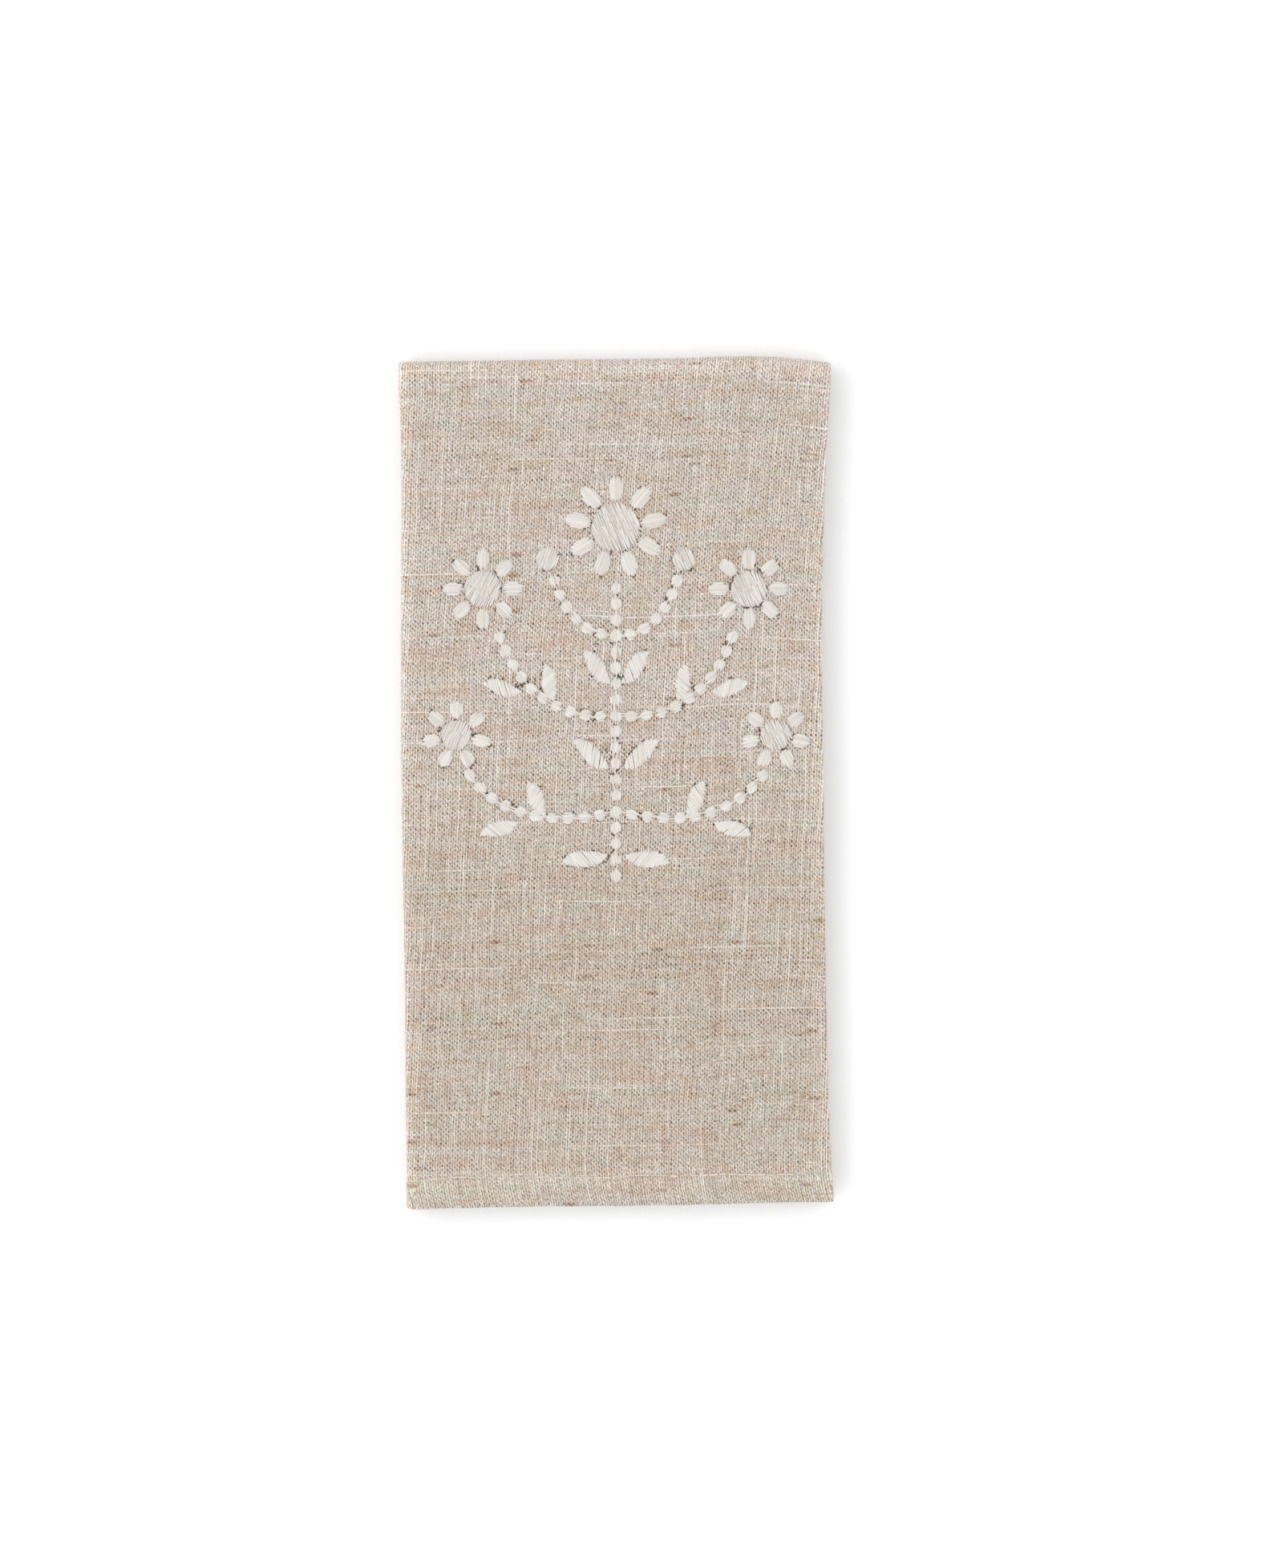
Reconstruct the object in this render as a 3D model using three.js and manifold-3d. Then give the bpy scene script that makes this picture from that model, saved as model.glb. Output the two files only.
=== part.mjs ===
// Folded cloth napkin: one hemmed square of slub linen, folded in four lengthwise and then in half across,
// with a spray of satin-stitch flowers standing up from the panel that faces up.
// Millimetres. +X is to the right, +Y towards the cross fold, +Z up. The origin is on the table, under the middle.
import * as THREE from "three";
import { mergeVertices } from "three/addons/utils/BufferGeometryUtils.js";
import Module from "manifold-3d";

const { lerp, degToRad, smoothstep } = THREE.MathUtils;
const wasm = await Module();
wasm.setup();

// Cloth and folds
const NAPKIN_SIDE = 508;
const PANEL_WIDTH = NAPKIN_SIDE / 4;
const PANEL_LENGTH = NAPKIN_SIDE / 2;
const CLOTH_THICKNESS = 1;
const LAYER_PITCH = 1.3;
const LAYERS_PER_HALF = 4;
const STACK_HEIGHT = (2 * LAYERS_PER_HALF - 1) * LAYER_PITCH + CLOTH_THICKNESS;
const CROSS_FOLD_Z = STACK_HEIGHT / 2;
const CROSS_FOLD_Y = PANEL_LENGTH / 2 - CROSS_FOLD_Z;
const OUTER_FOLD_X = -PANEL_WIDTH / 2 + 1.5 * LAYER_PITCH + CLOTH_THICKNESS / 2;
const INNER_FOLD_X = PANEL_WIDTH / 2 - 0.5 * LAYER_PITCH - CLOTH_THICKNESS / 2;
const SIDE_HEM_SETBACK = 0.8;
const SIDE_HEM_X = INNER_FOLD_X - SIDE_HEM_SETBACK;

// Hem: turned to the wrong side, with a row of stitches that pulls a shallow groove into the right side
const HEM_DEPTH = 9.5;
const HEM_TURN_RISE = 0.08;
const HEM_GROOVE_DEPTH = 0.3;
const HEM_GROOVE_HALF_WIDTH = 1.4;

// Embroidery
const STITCH_RISE = 0.55;
const STITCH_WALL = 0.3;
const STITCH_EDGE = 0.9;
const DOT_WIDTH = 3.8;
const DOT_SPACING = 4.8;
const PETAL_GAP = 0.6;
const LEAF_STALK = 2.6;

// Mesh steps
const ROUND_STEPS = 4;
const CENTRE_STEPS = 7;
const LEAF_STEPS = 4;
const STRIP_STEPS = 5;
const SIDE_FOLD_STEPS = 5;
const CROSS_FOLD_STEPS = 7;
const LENGTH_STEPS = 8;

// The four lengthwise strips, in the order in which the cloth runs from one side hem to the other. The layer counts
// up from the table. Each hem shift draws that strip's end hem in, below and above the cross fold.
const STRIPS = [
  { layer: 2, fromX: SIDE_HEM_X, toX: OUTER_FOLD_X, lowerHemShift: 1.2, upperHemShift: 0.6 },
  { layer: 1, fromX: OUTER_FOLD_X, toX: INNER_FOLD_X, lowerHemShift: 2.2, upperHemShift: 1.6 },
  { layer: 0, fromX: INNER_FOLD_X, toX: OUTER_FOLD_X, lowerHemShift: 1.4, upperHemShift: 0 },
  { layer: 3, fromX: OUTER_FOLD_X, toX: SIDE_HEM_X, lowerHemShift: 2.4, upperHemShift: 1.3 },
];

// Where the two long folds lie at each place along the panel: it is a little waisted and leans to one side.
const LONG_EDGES = [
  { y: -126, left: -63, right: 64.9 },
  { y: -103, left: -63.2, right: 64 },
  { y: -55, left: -63.4, right: 62.6 },
  { y: 0, left: -64.5, right: 62 },
  { y: 53, left: -64.6, right: 61.5 },
  { y: 101, left: -64.6, right: 62.8 },
  { y: 125, left: -65.1, right: 64.3 },
];

// Where the hem and the cross fold lie at each place across the panel.
const SHORT_EDGES = [
  { x: -62, hem: -127.8, fold: 126.6 },
  { x: -25, hem: -127, fold: 127.2 },
  { x: 12, hem: -126.7, fold: 127.7 },
  { x: 50, hem: -125.8, fold: 127.8 },
  { x: 64, hem: -125.6, fold: 127.2 },
];

// Soft rises of the stack above its flattest middle: along the folds, at the hems and over two slack places.
const SOFT_RISES = [
  { x: -63, y: 10, reachX: 13, reachY: 120, rise: 0.45 },
  { x: 63, y: 30, reachX: 11, reachY: 110, rise: 0.3 },
  { x: 5, y: 127, reachX: 80, reachY: 15, rise: 0.4 },
  { x: -5, y: -127, reachX: 90, reachY: 13, rise: 0.35 },
  { x: 27, y: -62, reachX: 30, reachY: 26, rise: 0.22 },
  { x: -24, y: 108, reachX: 26, reachY: 16, rise: 0.2 },
];
const LOWER_HALF_INSET = 0.8;

// The spray, upright on the panel. The side stems, flowers and leaves are worked on both sides of the middle stem.
const MIDDLE_STEM = { from: [0, -27.6], bend: [0, 15.6], to: [0, 58.8] };
const SIDE_STEMS = [
  { from: [0, -8.4], bend: [31, -15.5], to: [44, 2.5] },
  { from: [0, 20.4], bend: [25, 18], to: [35, 44] },
  { from: [0, 44.4], bend: [13, 44.4], to: [18.5, 61] },
];
const MIDDLE_FLOWER = { x: 0, y: 77, centre: 14, petals: 9, petalLength: 8, petalWidth: 5 };
const SIDE_FLOWERS = [
  { x: 48, y: 14.5, centre: 8.6, petals: 7, petalLength: 5.6, petalWidth: 4.4 },
  { x: 40, y: 58.5, centre: 10.4, petals: 8, petalLength: 6.4, petalWidth: 4.5 },
  { x: 20.5, y: 67.5, centre: 6.4, petals: 0, petalLength: 0, petalWidth: 0 },
];
const LEAVES = [
  { x: 0, y: -21, lean: 100, length: 14, width: 5.6 },
  { x: 0, y: 3, lean: 52, length: 14, width: 5.6 },
  { x: 0, y: 28, lean: 40, length: 13, width: 5.6 },
  { x: 20, y: -12.1, lean: 28, length: 12, width: 5.2 },
  { x: 27, y: -10.6, lean: 110, length: 12, width: 5.2 },
  { x: 26, y: 27, lean: 78, length: 12, width: 5.2 },
  { x: 18, y: 22, lean: 14, length: 12, width: 5.2 },
];

const layerMiddle = (layer) => CLOTH_THICKNESS / 2 + layer * LAYER_PITCH;

// A smooth curve through one column of a table, read at a place given by another.
function columnCurve(table, place, column) {
  const places = table.map((row) => row[place]);
  const values = table.map((row) => row[column]);
  const curve = new THREE.CubicInterpolant(places, values, 1, [0]);
  return (at) => curve.evaluate(at)[0];
}

const leftEdge = columnCurve(LONG_EDGES, "y", "left");
const rightEdge = columnCurve(LONG_EDGES, "y", "right");
const hemEdge = columnCurve(SHORT_EDGES, "x", "hem");
const foldEdge = columnCurve(SHORT_EDGES, "x", "fold");

// How far the top of the stack stands above its flattest middle.
function softRise(x, y) {
  return SOFT_RISES.reduce((sum, soft) => {
    const away = ((x - soft.x) / soft.reachX) ** 2 + ((y - soft.y) / soft.reachY) ** 2;
    return sum + soft.rise * Math.exp(-away);
  }, 0);
}

// Places across the cloth, from side hem to side hem: the middle of the sheet as it lies in the folded section, and
// the way its right side faces there.
function sectionStations() {
  const stations = [];
  STRIPS.forEach((strip, index) => {
    const facing = Math.sign(strip.toX - strip.fromX);
    for (let step = 0; step <= STRIP_STEPS; step++) {
      const x = lerp(strip.fromX, strip.toX, step / STRIP_STEPS);
      stations.push({ ...strip, x, z: layerMiddle(strip.layer), faceX: 0, faceZ: facing });
    }
    if (index + 1 < STRIPS.length) stations.push(...sideFoldStations(strip, STRIPS[index + 1]));
  });
  return stations;
}

// The half turn that joins one strip to the next, without its two ends.
function sideFoldStations(strip, next) {
  const side = Math.sign(strip.toX - strip.fromX);
  const middleZ = (layerMiddle(strip.layer) + layerMiddle(next.layer)) / 2;
  const radius = ((strip.layer - next.layer) * LAYER_PITCH) / 2;
  const stations = [];
  for (let step = 1; step < SIDE_FOLD_STEPS; step++) {
    const share = step / SIDE_FOLD_STEPS;
    const turn = Math.PI * share;
    stations.push({
      x: strip.toX + side * Math.abs(radius) * Math.sin(turn),
      z: middleZ + radius * Math.cos(turn),
      faceX: Math.sign(radius) * Math.sin(turn),
      faceZ: side * Math.cos(turn),
      lowerHemShift: lerp(strip.lowerHemShift, next.lowerHemShift, share),
      upperHemShift: lerp(strip.upperHemShift, next.upperHemShift, share),
    });
  }
  return stations;
}

// Places along the cloth, from end hem to end hem: the distance up the panel, the turn round the cross fold, and the
// distance from the nearer end hem.
function lengthStations() {
  const hemY = -PANEL_LENGTH / 2;
  const run = CROSS_FOLD_Y - hemY;
  const groove = [-HEM_GROOVE_HALF_WIDTH, 0, HEM_GROOVE_HALF_WIDTH].map((off) => HEM_DEPTH + off);
  const plain = Array.from({ length: LENGTH_STEPS }, (_, step) => lerp(groove[2], run, (step + 1) / LENGTH_STEPS));
  const distances = [0, ...groove, ...plain];
  const lower = distances.map((fromHem) => ({ y: hemY + fromHem, turn: 0, fromHem }));
  const upper = distances.map((fromHem) => ({ y: hemY + fromHem, turn: Math.PI, fromHem })).reverse();
  const fold = Array.from({ length: CROSS_FOLD_STEPS - 1 }, (_, step) => ({
    y: CROSS_FOLD_Y,
    turn: (Math.PI * (step + 1)) / CROSS_FOLD_STEPS,
    fromHem: run,
  }));
  return [...lower, ...fold, ...upper];
}

// How far the sheet's right side (1) or wrong side (-1) stands from its middle.
function halfThickness(side, fromHem) {
  const half = CLOTH_THICKNESS / 2;
  if (side < 0) return fromHem < HEM_DEPTH ? half + HEM_TURN_RISE : half;
  const fromGroove = Math.abs(fromHem - HEM_DEPTH);
  return half - HEM_GROOVE_DEPTH * (1 - smoothstep(fromGroove, 0, HEM_GROOVE_HALF_WIDTH));
}

// A point of the sheet in the neat folded stack, before it settles.
function foldedPoint(section, length, side) {
  const off = side * halfThickness(side, length.fromHem);
  const z = section.z + section.faceZ * off;
  const hemShift = length.turn < Math.PI / 2 ? section.lowerHemShift : section.upperHemShift;
  const towardsHem = 1 - smoothstep(length.fromHem, 0, PANEL_LENGTH / 2);
  return new THREE.Vector3(
    section.x + section.faceX * off,
    length.y + hemShift * towardsHem + (CROSS_FOLD_Z - z) * Math.sin(length.turn),
    CROSS_FOLD_Z - (CROSS_FOLD_Z - z) * Math.cos(length.turn),
  );
}

// The neat stack takes the uneven outline and the soft rises of hand-folded cloth. The underside stays flat.
function settled(point) {
  const across = point.x / PANEL_WIDTH + 0.5;
  const along = point.y / PANEL_LENGTH + 0.5;
  const inset = LOWER_HALF_INSET * (1 - smoothstep(point.z, 0, STACK_HEIGHT)) * (1 - 2 * across);
  return new THREE.Vector3(
    lerp(leftEdge(point.y), rightEdge(point.y), across) + inset,
    lerp(hemEdge(point.x), foldEdge(point.x), along),
    point.z * (1 + softRise(point.x, point.y) / STACK_HEIGHT),
  );
}

// The whole cloth as one closed sheet: its right side, its wrong side and the rim of the four hems.
function foldedSheet() {
  const sections = sectionStations();
  const lengths = lengthStations();
  const points = [1, -1].flatMap((side) =>
    sections.flatMap((section) => lengths.map((length) => settled(foldedPoint(section, length, side)))),
  );
  const sideSize = sections.length * lengths.length;
  const index = [];
  const quad = (a, b, c, d) => index.push(a, b, c, a, c, d);
  const right = (i, j) => i * lengths.length + j;
  const wrong = (i, j) => sideSize + right(i, j);
  const lastI = sections.length - 1;
  const lastJ = lengths.length - 1;
  for (let i = 0; i < lastI; i++) {
    for (let j = 0; j < lastJ; j++) {
      quad(right(i, j), right(i + 1, j), right(i + 1, j + 1), right(i, j + 1));
      quad(wrong(i, j), wrong(i, j + 1), wrong(i + 1, j + 1), wrong(i + 1, j));
    }
    quad(right(i, 0), wrong(i, 0), wrong(i + 1, 0), right(i + 1, 0));
    quad(right(i + 1, lastJ), wrong(i + 1, lastJ), wrong(i, lastJ), right(i, lastJ));
  }
  for (let j = 0; j < lastJ; j++) {
    quad(right(0, j + 1), wrong(0, j + 1), wrong(0, j), right(0, j));
    quad(right(lastI, j), wrong(lastI, j), wrong(lastI, j + 1), right(lastI, j + 1));
  }
  return new THREE.BufferGeometry().setFromPoints(points).setIndex(index);
}

function roundOutline(length, width) {
  return new THREE.Shape().absellipse(0, 0, length / 2, width / 2, 0, 2 * Math.PI);
}

function leafOutline(length, width) {
  const tip = length / 2;
  return new THREE.Shape()
    .moveTo(-tip, 0)
    .quadraticCurveTo(0, -width, tip, 0)
    .quadraticCurveTo(0, width, -tip, 0);
}

// One patch of satin stitches: a low pad with a soft edge, set halfway into the cloth. Turn is from +X, in radians.
function stitchedPad(outline, curveSegments, x, y, turn) {
  const pad = new THREE.ExtrudeGeometry(outline, {
    depth: STITCH_WALL,
    curveSegments,
    bevelSegments: 1,
    bevelThickness: STITCH_RISE - STITCH_WALL / 2,
    bevelSize: STITCH_EDGE,
    bevelOffset: -STITCH_EDGE,
  });
  const clothTop = STACK_HEIGHT + softRise(x, y);
  return pad.rotateZ(turn).translate(x, y, clothTop - STITCH_WALL / 2);
}

// A chain of dots along a curved stem. A side stem starts beside a dot of the middle one.
function stemPads(stem, mirror) {
  const corner = ([x, y]) => new THREE.Vector2(mirror * x, y);
  const line = new THREE.QuadraticBezierCurve(corner(stem.from), corner(stem.bend), corner(stem.to));
  const dots = line.getSpacedPoints(Math.round(line.getLength() / DOT_SPACING));
  const own = stem === MIDDLE_STEM ? dots : dots.slice(1);
  return own.map(({ x, y }) => stitchedPad(roundOutline(DOT_WIDTH, DOT_WIDTH), ROUND_STEPS, x, y, 0));
}

// A round centre with a ring of petals. A bud has no petals.
function flowerPads(flower, mirror) {
  const x = mirror * flower.x;
  const ring = flower.centre / 2 + PETAL_GAP + flower.petalLength / 2;
  const centre = stitchedPad(roundOutline(flower.centre, flower.centre), CENTRE_STEPS, x, flower.y, 0);
  const petals = Array.from({ length: flower.petals }, (_, step) => {
    const turn = degToRad(90) + (step / flower.petals) * 2 * Math.PI * mirror;
    const outline = roundOutline(flower.petalLength, flower.petalWidth);
    return stitchedPad(outline, ROUND_STEPS, x + ring * Math.cos(turn), flower.y + ring * Math.sin(turn), turn);
  });
  return [centre, ...petals];
}

// Lean is the leaf's angle from upright, in degrees, away from the middle stem.
function leafPad(leaf, mirror) {
  const turn = degToRad(90 - mirror * leaf.lean);
  const reach = LEAF_STALK + leaf.length / 2;
  const x = mirror * leaf.x + reach * Math.cos(turn);
  const outline = leafOutline(leaf.length, leaf.width);
  return stitchedPad(outline, LEAF_STEPS, x, leaf.y + reach * Math.sin(turn), turn);
}

function embroideryPads() {
  const sides = [1, -1].flatMap((mirror) => [
    ...SIDE_STEMS.flatMap((stem) => stemPads(stem, mirror)),
    ...SIDE_FLOWERS.flatMap((flower) => flowerPads(flower, mirror)),
    ...LEAVES.map((leaf) => leafPad(leaf, mirror)),
  ]);
  return [...stemPads(MIDDLE_STEM, 1), ...flowerPads(MIDDLE_FLOWER, 1), ...sides];
}

function solidOf(geometry) {
  const bare = geometry.clone();
  bare.deleteAttribute("normal");
  bare.deleteAttribute("uv");
  const merged = mergeVertices(bare);
  const mesh = new wasm.Mesh({
    numProp: 3,
    vertProperties: merged.getAttribute("position").array,
    triVerts: new Uint32Array(merged.index.array),
  });
  return new wasm.Manifold(mesh);
}

function geometryOf(solid) {
  const mesh = solid.getMesh();
  return new THREE.BufferGeometry()
    .setAttribute("position", new THREE.BufferAttribute(mesh.vertProperties, mesh.numProp))
    .setIndex(new THREE.BufferAttribute(mesh.triVerts, 1));
}

function foldedNapkin() {
  const solid = embroideryPads().reduce((cloth, pad) => cloth.add(solidOf(pad)), solidOf(foldedSheet()));
  const linen = new THREE.MeshStandardMaterial({ color: 0xc9bdae, roughness: 0.9, metalness: 0 });
  const napkin = new THREE.Mesh(geometryOf(solid), linen);
  napkin.name = "folded_napkin";
  return napkin;
}

const part = new THREE.Group();
part.add(foldedNapkin());

export default part;
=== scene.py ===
import math

import bpy
import numpy as np
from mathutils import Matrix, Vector
from mathutils.bvhtree import BVHTree
from mathutils.kdtree import KDTree


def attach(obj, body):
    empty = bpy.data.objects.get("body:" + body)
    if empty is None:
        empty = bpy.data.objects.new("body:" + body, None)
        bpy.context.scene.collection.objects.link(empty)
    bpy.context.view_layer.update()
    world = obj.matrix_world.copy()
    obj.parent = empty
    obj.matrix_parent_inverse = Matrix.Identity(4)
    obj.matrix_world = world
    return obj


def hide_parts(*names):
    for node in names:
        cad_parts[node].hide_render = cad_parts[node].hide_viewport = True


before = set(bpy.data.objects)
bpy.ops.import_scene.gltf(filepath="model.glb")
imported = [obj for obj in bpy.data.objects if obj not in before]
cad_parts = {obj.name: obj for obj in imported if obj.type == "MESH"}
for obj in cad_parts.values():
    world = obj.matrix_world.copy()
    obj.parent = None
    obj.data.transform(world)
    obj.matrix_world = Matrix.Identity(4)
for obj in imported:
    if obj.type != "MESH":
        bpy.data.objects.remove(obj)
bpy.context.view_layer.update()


# Linen cloth
# One square of plain-woven slub linen, cream warp and flax-brown weft, with a narrow hem turned on all
# four sides. It is halved lengthwise twice and then once across, and lies pressed with the cross fold
# away from the hems. The lowest panel is flat on the table.
MM = 0.001
napkin_side = 508 * MM
panel_width = napkin_side / 4
panel_length = napkin_side / 2
cloth_thickness = 0.6 * MM
hem_thickness = 1.05 * MM
hem_depth = 8.6 * MM
hem_edge_share = 0.35
hem_edge_round = 0.8 * MM
hem_step_width = 0.9 * MM
side_hem_setback = 0.8 * MM
stack_height = 10.1 * MM
layers = 8
layer_pitch = (stack_height - cloth_thickness) / (layers - 1)

# A pressed fold bulges by half its own radius. The open end of the packet is pressed flatter than the
# rest, and the lower half lies a little inside the upper one.
fold_bulge = 0.5
cross_fold_z = stack_height / 2
cross_fold_y = panel_length / 2 - fold_bulge * cross_fold_z
outer_fold_x = -panel_width / 2 + fold_bulge * 1.5 * layer_pitch + cloth_thickness / 2
inner_fold_x = panel_width / 2 - fold_bulge * 0.5 * layer_pitch - cloth_thickness / 2
side_hem_x = inner_fold_x - side_hem_setback
open_end_press = 0.14
open_end_reach = 25 * MM
lower_half_inset = 0.8 * MM

# Strips in the order in which the cloth runs: layer counted from the table, the two ends, how far each
# end hem is drawn in below and above the cross fold in millimetres, and the number of mesh steps
strips = [
    {"layer": 2, "from": side_hem_x, "to": outer_fold_x, "lower": 0.7, "upper": 0.6, "steps": 18},
    {"layer": 1, "from": outer_fold_x, "to": inner_fold_x, "lower": 1.4, "upper": 1.6, "steps": 18},
    {"layer": 0, "from": inner_fold_x, "to": outer_fold_x, "lower": 0.4, "upper": 0.0, "steps": 94},
    {"layer": 3, "from": outer_fold_x, "to": side_hem_x, "lower": 1.5, "upper": 1.3, "steps": 18},
]
outer_strip = strips[2]
side_fold_steps = 9
cross_fold_steps = 14
upper_step = 1.35 * MM
lower_step = 7 * MM

# Mesh lines up each end hem, in millimetres from its edge, closer together at the edge and at the stitches
hem_lines = [0, 0.25, 0.7, 1.6, 3, 4.6, 6.2, 7.2, 7.8, 8.2, 8.6, 9.1, 10]

# Outline of the packet in millimetres: the long folds along it, and the hem and cross fold across it
long_edges = {
    "at": [-126, -103, -55, 0, 53, 101, 125],
    "left": [-62.8, -63.2, -63.7, -64.7, -64.8, -64.8, -65.6],
    "right": [65.2, 64.2, 63, 62.4, 61.9, 63.3, 64.7],
}
short_edges = {
    "at": [-62, -25, 12, 50, 64],
    "hem": [-127.8, -127, -126.7, -125.8, -125.6],
    "fold": [126.9, 127.4, 127.8, 128.1, 126.6],
}

# Soft rises above the flat middle in millimetres: along the folds, at the hems and over two slack places
soft_rises = [
    {"x": -63, "y": 10, "reach_x": 13, "reach_y": 120, "rise": 0.45},
    {"x": 63, "y": 30, "reach_x": 11, "reach_y": 110, "rise": 0.3},
    {"x": 5, "y": 127, "reach_x": 80, "reach_y": 15, "rise": 0.4},
    {"x": -5, "y": -127, "reach_x": 90, "reach_y": 13, "rise": 0.35},
    {"x": 27, "y": -62, "reach_x": 30, "reach_y": 26, "rise": 0.22},
    {"x": -24, "y": 108, "reach_x": 26, "reach_y": 16, "rise": 0.2},
]

# Ripples of cloth that was folded by hand: how many waves cross, and their shortest and longest length in
# millimetres. Along the edges each layer ripples in its own way.
broad_waves = {"count": 9, "shortest": 38, "longest": 90}
fine_waves = {"count": 12, "shortest": 9, "longest": 22}
edge_waves = {"count": 8, "shortest": 7, "longest": 30}
broad_height = 0.1 * MM
fine_height = 0.035 * MM
fold_edge_height = 0.05 * MM
fold_edge_reach = 5 * MM
hem_edge_height = 0.1 * MM
hem_edge_reach = 4 * MM
layers_apart = 10
hand_seed = 11
rng = np.random.default_rng(hand_seed)


def through(edges, name, at):
    """A smooth curve through one row of a table in millimetres, read at a place in metres."""
    places = np.array(edges["at"]) * MM
    values = np.array(edges[name]) * MM
    slopes = np.gradient(values, places)
    row = np.clip(np.searchsorted(places, at) - 1, 0, len(places) - 2)
    step = places[row + 1] - places[row]
    t = np.clip((at - places[row]) / step, 0, 1)
    start = values[row] * (1 + 2 * t) * (1 - t) ** 2 + slopes[row] * step * t * (1 - t) ** 2
    end = values[row + 1] * t**2 * (3 - 2 * t) + slopes[row + 1] * step * t**2 * (t - 1)
    return start + end


def smooth(value, low, high):
    """0 below low, 1 above high, smooth between."""
    t = np.clip((value - low) / (high - low), 0, 1)
    return t * t * (3 - 2 * t)


def ripple(waves):
    """A gentle uneven surface of height about 1."""
    count = waves["count"]
    headings = rng.uniform(0, 2 * np.pi, count)
    wave_lengths = rng.uniform(waves["shortest"] * MM, waves["longest"] * MM, count)
    starts = rng.uniform(0, 2 * np.pi, count)

    def height(x, y):
        heights = [
            np.sin(2 * np.pi * (x * np.cos(heading) + y * np.sin(heading)) / length + start)
            for heading, length, start in zip(headings, wave_lengths, starts)
        ]
        return np.sum(heights, axis=0) / np.sqrt(count)

    return height


def layer_middle(layer):
    """Height of the middle of a layer, counted from the table."""
    return cloth_thickness / 2 + layer * layer_pitch


def section_stations():
    """Columns x, z, the z that sets how far the cross fold bulges, lower and upper hem shift, and
    distance along the cloth, from side hem to side hem. Round a side fold the outer layer keeps its bulge
    and hem shift out to the edge, so the corners are square."""
    rows = []
    for index, strip in enumerate(strips):
        z = layer_middle(strip["layer"])
        shifts = [strip["lower"] * MM, strip["upper"] * MM]
        for x in np.linspace(strip["from"], strip["to"], strip["steps"] + 1):
            rows.append([x, z, z, *shifts])
        if index + 1 == len(strips):
            break
        after = strips[index + 1]
        outwards = np.sign(strip["to"] - strip["from"])
        radius = (z - layer_middle(after["layer"])) / 2
        for share in np.arange(1, side_fold_steps) / side_fold_steps:
            turn = np.pi * share
            x = strip["to"] + outwards * fold_bulge * abs(radius) * np.sin(turn)
            past = smooth(share, 0.5, 1) if strip["layer"] < after["layer"] else smooth(share, 0, 0.5)
            mixed = [MM * (strip[half] * (1 - past) + after[half] * past) for half in ("lower", "upper")]
            bulge_z = z * (1 - past) + layer_middle(after["layer"]) * past
            rows.append([x, z - radius + radius * np.cos(turn), bulge_z, *mixed])
    rows = np.array(rows)
    run = np.cumsum(np.hypot(*np.diff(rows[:, :2], axis=0, prepend=rows[:1, :2]).T))
    return np.column_stack([rows, run * napkin_side / run[-1]])


def length_stations():
    """Columns distance up the panel, turn round the cross fold, distance from the nearer end hem, and
    distance along the cloth from the upper hem."""
    hem_y = -panel_length / 2
    reach = cross_fold_y - hem_y
    hem_part = np.array(hem_lines) * MM
    fine = np.linspace(hem_part[-1], reach, round((reach - hem_part[-1]) / upper_step) + 1)
    coarse = np.linspace(hem_part[-1], reach, round((reach - hem_part[-1]) / lower_step) + 1)
    lower = np.concatenate([hem_part, coarse[1:]])
    upper = np.concatenate([hem_part, fine[1:]])[::-1]
    turn = np.pi * np.arange(1, cross_fold_steps) / cross_fold_steps
    rows = [[hem_y + far, 0, far] for far in lower]
    rows += [[cross_fold_y, angle, reach] for angle in turn]
    rows += [[hem_y + far, np.pi, far] for far in upper]
    rows = np.array(rows)
    path_y = rows[:, 0] + fold_bulge * cross_fold_z * np.sin(rows[:, 1])
    path_z = -cross_fold_z * np.cos(rows[:, 1])
    run = np.cumsum(np.hypot(np.diff(path_y, prepend=path_y[0]), np.diff(path_z, prepend=path_z[0])))
    return np.column_stack([rows, napkin_side * (1 - run / run[-1])])


def soft_rise(x, y):
    """Height of all the soft rises at a place."""
    total = np.zeros_like(x)
    for soft in soft_rises:
        off_x = (x / MM - soft["x"]) / soft["reach_x"]
        off_y = (y / MM - soft["y"]) / soft["reach_y"]
        total += soft["rise"] * MM * np.exp(-(off_x**2) - off_y**2)
    return total


def hem_weight(far):
    """The hem's extra thickness: rounded at its edge, full over the turning, drawn in at the stitches."""
    to_full = 1 - np.clip(far / hem_edge_round, 0, 1)
    edge = hem_edge_share + (1 - hem_edge_share) * np.sqrt(np.clip(1 - to_full**2, 0, 1))
    inside = 1 - smooth(far, hem_depth - hem_step_width, hem_depth)
    return edge * inside


section = section_stations()
lengths = length_stations()
across_count = len(section)
along_count = len(lengths)
flat_x, flat_z, bulge_z, shift_low, shift_up, cloth_u = np.tile(section.T, along_count)
flat_y, turn, from_hem, cloth_v = np.repeat(lengths.T, across_count, axis=1)
from_side_hem = np.minimum(cloth_u, napkin_side - cloth_u)
to_hem = np.minimum(from_hem, from_side_hem)

# The neat fold
shift = np.where(turn < np.pi / 2, shift_low, shift_up) * (1 - smooth(from_hem, 0, panel_length / 2))
flat_z = flat_z + (hem_thickness - cloth_thickness) / 2 * hem_weight(from_hem) * np.cos(turn)
neat_y = flat_y + shift + fold_bulge * (cross_fold_z - bulge_z) * np.sin(turn)
neat_z = cross_fold_z - (cross_fold_z - flat_z) * np.cos(turn)

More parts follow.
